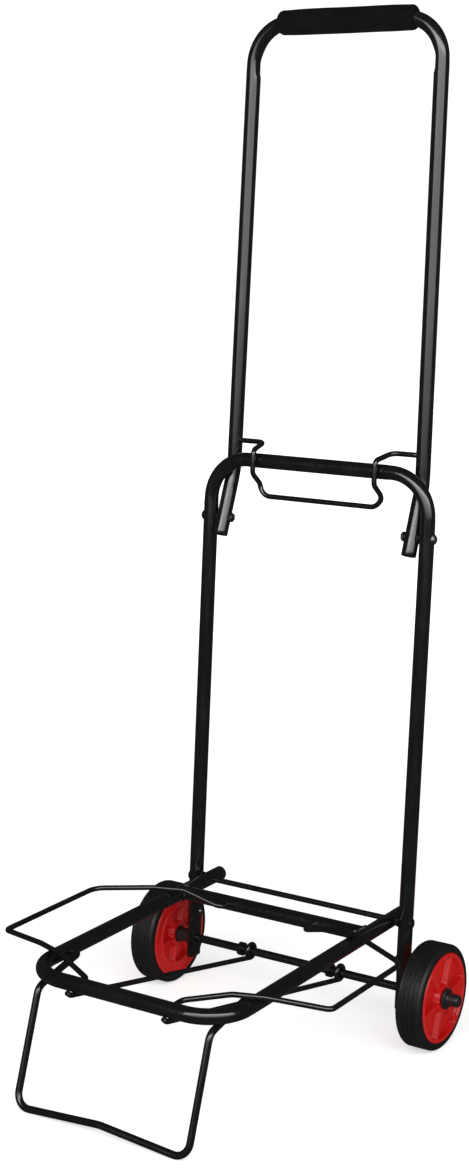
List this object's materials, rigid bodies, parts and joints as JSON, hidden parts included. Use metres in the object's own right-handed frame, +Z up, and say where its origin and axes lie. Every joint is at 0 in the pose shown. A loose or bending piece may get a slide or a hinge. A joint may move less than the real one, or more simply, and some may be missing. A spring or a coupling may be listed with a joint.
{
  "type": "hand truck",
  "caption": "Folding two-wheeled hand truck: bent-tube frame, fold-back handle with foam grip, wire latch, fold-up load deck with wire wings, prop struts and wire stand.",
  "frame": {"origin": "on the floor, in the middle of the truck's width and depth", "axes": "+X to the right for someone facing the load deck (wheel axle direction), -Y towards the load deck's front, +Z up"},
  "size_m": [0.3572, 0.4056, 0.9533],
  "materials": {
    "black_paint": "gloss black stoved enamel on steel tube",
    "black_wire": "satin-gloss black enamel on steel wire and rod",
    "foam_grip": "matte closed-cell foam",
    "zinc_steel": "black-passivated steel with bright worn crowns",
    "black_plastic": "moulded black nylon, fine grain",
    "red_plastic": "glossy red moulded plastic",
    "tyre_rubber": "matte black moulded tyre"
  },
  "bodies": {
    "frame": {"lower_frame": "black_paint", "leg_rivets": "zinc_steel", "handle_bolts": "zinc_steel", "handle_washers": "black_plastic", "handle_nuts": "zinc_steel", "deck_rod": "black_wire", "deck_washers": "black_plastic", "axle": "black_wire", "axle_collars": "black_wire", "axle_spacers": "black_plastic", "hub_washers": "black_plastic", "axle_cap_left": "black_plastic", "axle_cap_right": "black_plastic"},
    "handle": {"upper_handle": "black_paint", "handle_grip": "foam_grip"},
    "latch": {"latch_wire": "black_wire"},
    "deck": {"deck_frame": "black_paint", "deck_crossbar": "black_paint", "deck_plug_left": "black_plastic", "deck_plug_right": "black_plastic"},
    "left_wing": {"wing_left": "black_wire"},
    "right_wing": {"wing_right": "black_wire"},
    "stand": {"stand_wire": "black_wire"},
    "left_strut": {"strut_left": "black_wire"},
    "right_strut": {"strut_right": "black_wire"},
    "left_wheel": {"rim_left": "red_plastic", "tyre_left": "tyre_rubber", "hub_bush_left": "black_plastic"},
    "right_wheel": {"rim_right": "red_plastic", "tyre_right": "tyre_rubber", "hub_bush_right": "black_plastic"}
  },
  "joints": [
    {"name": "handle_fold", "type": "hinge", "parent": "frame", "child": "handle", "pos_m": [0, 0.14688, 0.47587], "axis": [-1, 0, 0], "range_deg": [0, 166], "deforming": ["latch_wire"]},
    {"name": "latch_lift", "type": "hinge", "parent": "handle", "child": "latch", "pos_m": [0, 0.16629, 0.5491], "axis": [-1, 0, 0], "range_deg": [0, 110]},
    {"name": "deck_fold", "type": "hinge", "parent": "frame", "child": "deck", "pos_m": [0, 0.12422, 0.11373], "axis": [-1, 0, 0], "range_deg": [0, 86]},
    {"name": "left_wing_flip", "type": "hinge", "parent": "deck", "child": "left_wing", "pos_m": [-0.048, 0.02422, 0.11373], "axis": [0, 1, 0], "range_deg": [0, 166]},
    {"name": "right_wing_flip", "type": "hinge", "parent": "deck", "child": "right_wing", "pos_m": [0.048, 0.02422, 0.11373], "axis": [0, -1, 0], "range_deg": [0, 176]},
    {"name": "stand_fold", "type": "hinge", "parent": "deck", "child": "stand", "pos_m": [0, -0.10778, 0.11373], "axis": [1, 0, 0], "range_deg": [0, 104]},
    {"name": "left_strut_swing", "type": "hinge", "parent": "frame", "child": "left_strut", "pos_m": [-0.0505, 0.12023, 0.05], "axis": [-1, 0, 0], "range_deg": [0, 73]},
    {"name": "right_strut_swing", "type": "hinge", "parent": "frame", "child": "right_strut", "pos_m": [0.0505, 0.12023, 0.05], "axis": [-1, 0, 0], "range_deg": [0, 73]},
    {"name": "left_wheel_spin", "type": "hinge", "parent": "frame", "child": "left_wheel", "pos_m": [-0.1495, 0.12023, 0.05], "axis": [1, 0, 0], "continuous": true},
    {"name": "right_wheel_spin", "type": "hinge", "parent": "frame", "child": "right_wheel", "pos_m": [0.1495, 0.12023, 0.05], "axis": [1, 0, 0], "continuous": true}
  ],
  "couplings": [
    {"joint": "left_wing_flip", "follows": "deck_fold", "ratio": 1.9301},
    {"joint": "right_wing_flip", "follows": "deck_fold", "ratio": 2.0464},
    {"joint": "left_strut_swing", "follows": "deck_fold", "ratio": 0.8487},
    {"joint": "right_strut_swing", "follows": "deck_fold", "ratio": 0.8487}
  ]
}
